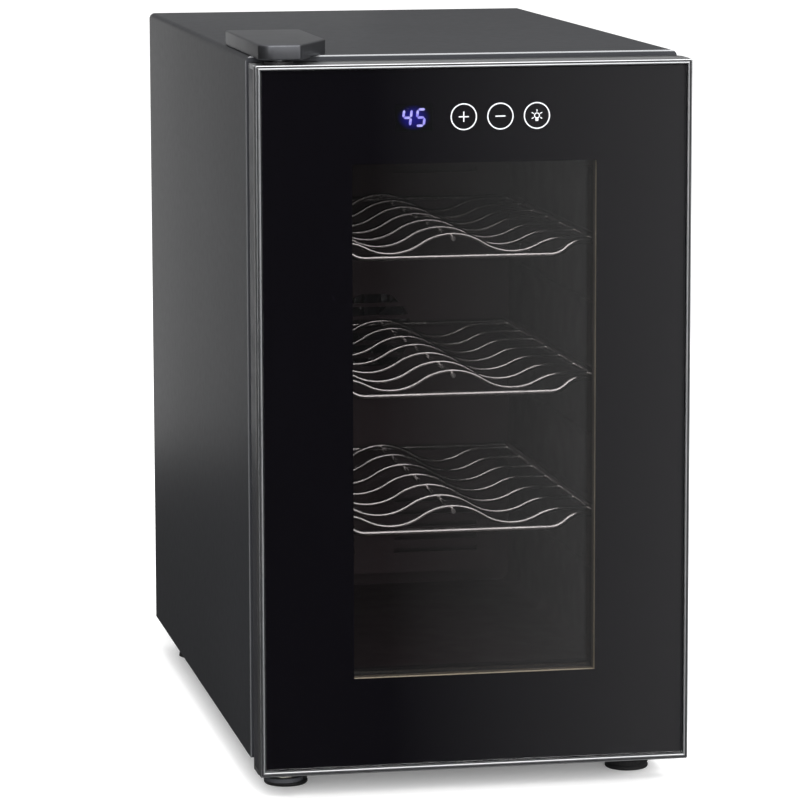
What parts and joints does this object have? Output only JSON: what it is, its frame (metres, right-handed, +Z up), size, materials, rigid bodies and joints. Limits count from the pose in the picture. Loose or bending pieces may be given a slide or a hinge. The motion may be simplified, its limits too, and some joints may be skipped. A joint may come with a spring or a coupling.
{
  "type": "wine cooler",
  "caption": "Free-standing thermoelectric wine cooler: a dark steel cabinet, a glass door with a touch control strip hinged on the left, wire bottle racks and a fan-cooled rear heat sink.",
  "frame": {"origin": "middle of the footprint on the floor", "axes": "+Z up, the door faces -Y, +X to the right of someone facing the door"},
  "size_m": [0.275, 0.508, 0.4755],
  "materials": {
    "painted_steel": "satin dark grey powder coat",
    "zinc_steel": "zinc plated sheet",
    "chrome_wire": "chrome plated wire",
    "liner_plastic": "black moulded plastic",
    "foam": "rigid polyurethane foam",
    "black_plastic": "black moulded plastic",
    "hinge_cover_plastic": "satin dark grey plastic",
    "door_plastic": "satin dark grey plastic",
    "aluminium_trim": "anodised satin",
    "aluminium_sink": "mill finish",
    "steel_fastener": "zinc plated",
    "clear_glass": "clear tempered glass",
    "glass_print": "black ceramic print",
    "white_print": "white printed ink",
    "display_light": "lit blue-violet",
    "circuit_board": "green solder mask",
    "gasket_rubber": "soft grey-black vinyl",
    "foot_rubber": "black rubber",
    "nylon": "natural nylon",
    "lamp_lens": "frosted clear plastic",
    "ceramic_plate": "white ceramic",
    "winding_tape": "yellow winding tape",
    "capacitor_sleeve": "dark sleeve"
  },
  "bodies": {
    "cabinet": {"cabinet_wrap": "painted_steel", "base_plate": "zinc_steel", "rear_panel": "painted_steel", "rear_bulkhead": "zinc_steel", "inner_liner": "liner_plastic", "foam_insulation": "foam", "shelf_bottom": "chrome_wire", "shelf_middle": "chrome_wire", "shelf_top": "chrome_wire", "light_lens": "lamp_lens", "light_board": "circuit_board", "temperature_sensor": "black_plastic", "duct_cover": "liner_plastic", "rear_panel_screws": "steel_fastener", "wall_spacers": "black_plastic", "inner_fan_frame": "black_plastic", "cold_sink": "aluminium_sink", "cold_block": "aluminium_sink", "thermoelectric_module": "ceramic_plate", "hot_sink": "aluminium_sink", "rear_fan_frame": "black_plastic", "rear_fan_guard": "steel_fastener", "power_board": "circuit_board", "board_standoffs": "nylon", "transformer": "winding_tape", "capacitors": "capacitor_sleeve", "power_inlet": "black_plastic", "top_hinge_plate": "zinc_steel", "top_hinge_pin": "steel_fastener", "top_hinge_cover": "hinge_cover_plastic", "bottom_hinge_plate": "painted_steel", "bottom_hinge_pin": "steel_fastener", "thrust_washer": "nylon", "hinge_screws": "steel_fastener", "foot_nuts": "steel_fastener", "rear_feet": "foot_rubber"},
    "door": {"door_trim": "aluminium_trim", "door_glass": "clear_glass", "door_mask": "glass_print", "control_symbols": "white_print", "display_digits": "display_light", "display_module": "glass_print", "touch_board": "circuit_board", "touch_pads": "nylon", "glazing_spacer": "aluminium_sink", "inner_glass": "clear_glass", "glazing_retainer": "black_plastic", "door_frame": "door_plastic", "door_insulation": "foam", "door_top_cap": "aluminium_trim", "door_bottom_cap": "aluminium_trim", "door_gasket": "gasket_rubber", "top_bushing": "nylon", "bottom_bushing": "nylon"},
    "rear_fan": {"rear_fan_rotor": "black_plastic"},
    "inner_fan": {"inner_fan_rotor": "black_plastic"},
    "left_foot": {"front_left_foot": "foot_rubber"},
    "right_foot": {"front_right_foot": "foot_rubber"}
  },
  "joints": [
    {"name": "door_hinge", "type": "hinge", "parent": "cabinet", "child": "door", "pos_m": [-0.1205, -0.238, 0.2405], "axis": [0, 0, -1], "range_deg": [0, 120]},
    {"name": "rear_fan_spin", "type": "hinge", "parent": "cabinet", "child": "rear_fan", "pos_m": [0, 0.2255, 0.25], "axis": [0, 1, 0], "continuous": true},
    {"name": "inner_fan_spin", "type": "hinge", "parent": "cabinet", "child": "inner_fan", "pos_m": [0, 0.1135, 0.25], "axis": [0, 1, 0], "continuous": true},
    {"name": "left_foot_turn", "type": "hinge", "parent": "cabinet", "child": "left_foot", "pos_m": [-0.112, -0.194, 0.01], "axis": [0, 0, 1], "continuous": true},
    {"name": "right_foot_turn", "type": "hinge", "parent": "cabinet", "child": "right_foot", "pos_m": [0.112, -0.194, 0.01], "axis": [0, 0, 1], "continuous": true}
  ]
}
